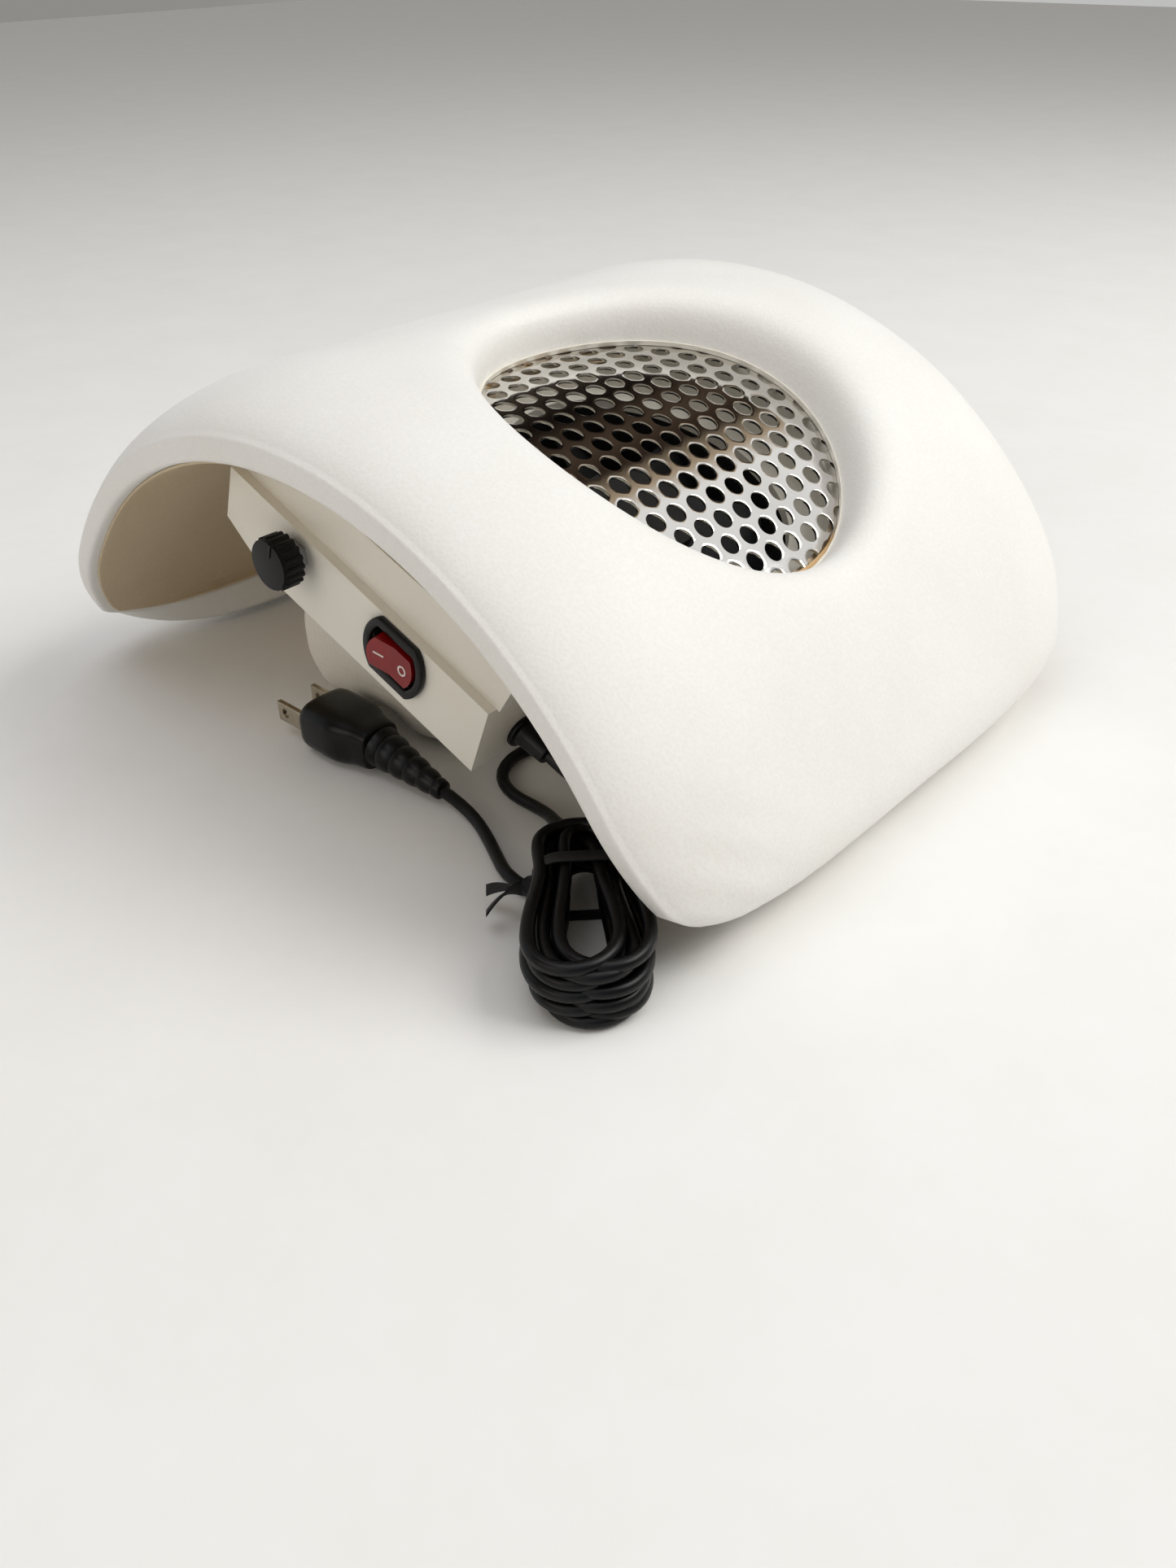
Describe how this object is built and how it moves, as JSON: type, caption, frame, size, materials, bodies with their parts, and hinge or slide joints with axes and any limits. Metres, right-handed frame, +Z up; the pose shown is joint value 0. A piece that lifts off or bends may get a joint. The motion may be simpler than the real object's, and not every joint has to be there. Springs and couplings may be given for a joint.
{
  "type": "nail dust collector",
  "caption": "Padded white arch that rests a hand over an offset oval suction mouth with a perforated steel grille, fan, dust bag, speed knob, lit rocker and tied mains cord.",
  "frame": {"origin": "on the table under the middle of the arch", "axes": "+Z up; +X across the arch towards the leg nearer the suction mouth; -Y is the rear opening with the knob and switch, +Y the front opening"},
  "size_m": [0.265, 0.2277, 0.116],
  "materials": {
    "white_pu_leather": "matt, fine grain",
    "foam": "soft open-cell foam",
    "bent_board": "bare",
    "cream_lining": "matt, smooth",
    "polished_steel": "mirror polished, perforated",
    "white_abs": "satin moulded",
    "grey_foam_strip": "matt",
    "black_nylon": "matt moulded",
    "core_steel": "oiled laminations",
    "copper_wire": "enamelled",
    "green_board": "solder mask",
    "bearing_steel": "ground",
    "ferrite": "matt",
    "zinc_screws": "zinc plated",
    "white_elastic": "woven",
    "white_nonwoven": "spun-bonded, pressed pattern",
    "pot_metal": "stamped",
    "white_print": "printed",
    "black_gloss": "polished moulding",
    "red_lens": "clear red moulding, lit",
    "brass_tab": "stamped",
    "film_capacitor": "cast resin",
    "black_epoxy": "moulded",
    "choke_winding": "enamelled",
    "red_wire": "smooth insulation",
    "black_pvc": "satin",
    "black_tie": "matt",
    "nickel_blade": "nickel plated"
  },
  "bodies": {
    "body": {"padded_cover": "white_pu_leather", "foam_pad": "foam", "arch_board": "bent_board", "inner_lining": "cream_lining", "intake_grille": "polished_steel", "mouth_ring": "white_abs", "duct": "white_abs", "bag_collar": "white_abs", "control_housing": "white_abs", "housing_cover": "white_abs", "duct_gasket": "grey_foam_strip", "fan_frame": "black_nylon", "fan_struts": "black_nylon", "fan_stator": "core_steel", "fan_coils": "copper_wire", "fan_board": "green_board", "circuit_board": "green_board", "bearing_upper": "bearing_steel", "bearing_lower": "bearing_steel", "finger_guard": "bearing_steel", "pot_nut": "bearing_steel", "fan_screws": "zinc_screws", "housing_screws": "zinc_screws", "bag_elastic": "white_elastic", "dust_bag": "white_nonwoven", "pot_body": "pot_metal", "rocker_bezel": "black_gloss", "switch_body": "black_gloss", "switch_terminals": "brass_tab", "board_capacitor": "film_capacitor", "board_triac": "black_epoxy", "board_choke": "choke_winding", "fan_wires": "red_wire", "cord_grommet": "black_pvc", "cord_inner": "black_pvc", "cord_hank": "black_pvc", "cord_free": "black_pvc", "plug_relief": "black_pvc", "plug_body": "black_pvc", "cord_tie": "black_tie", "plug_blades": "nickel_blade"},
    "knob": {"speed_knob": "black_nylon", "knob_pointer": "black_nylon", "pot_shaft": "bearing_steel"},
    "rocker": {"rocker_button": "red_lens", "rocker_marks": "white_print"},
    "rotor": {"fan_rotor": "black_nylon", "fan_shaft": "bearing_steel", "rotor_magnet": "ferrite", "rotor_clip": "bearing_steel"}
  },
  "joints": [
    {"name": "knob_turn", "type": "hinge", "parent": "body", "child": "knob", "pos_m": [-0.01413, -0.088, 0.06748], "axis": [0, -1, 0], "range_deg": [0, 270]},
    {"name": "rocker_tilt", "type": "hinge", "parent": "body", "child": "rocker", "pos_m": [0.02338, -0.086, 0.04948], "axis": [-0.3665, 0, -0.9304], "range_deg": [0, 18]},
    {"name": "fan_spin", "type": "hinge", "parent": "body", "child": "rotor", "pos_m": [0.03079, -0.005, 0.05463], "axis": [0.3665, 0, 0.9304], "continuous": true}
  ]
}
